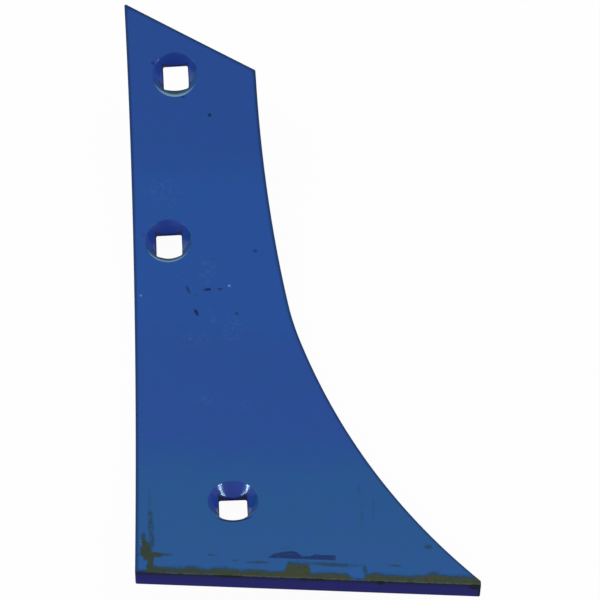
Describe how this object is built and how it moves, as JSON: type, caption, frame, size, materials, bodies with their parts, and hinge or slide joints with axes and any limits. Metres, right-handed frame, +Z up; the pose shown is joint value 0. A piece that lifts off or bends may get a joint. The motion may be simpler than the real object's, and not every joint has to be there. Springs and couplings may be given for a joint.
{
  "type": "plough shin",
  "caption": "Right-hand plough shin: a curved steel wear plate with a slanted top, a hollow-cut side edge and countersunk square holes for plough bolts, painted blue",
  "frame": {"origin": "on the ground under the middle of the part's box, as it lies on its round back with the hollow working face up", "axes": "+X along the share edge from the landside to the mouldboard side, +Y from the share end to the top, +Z up out of the hollow face; the part lies where it balances"},
  "size_m": [0.19, 0.3282, 0.0596],
  "materials": {
    "blue_paint": "gloss paint over rolled steel, worn along the share edge"
  },
  "bodies": {
    "root": {"plough_shin": "blue_paint"}
  },
  "joints": []
}
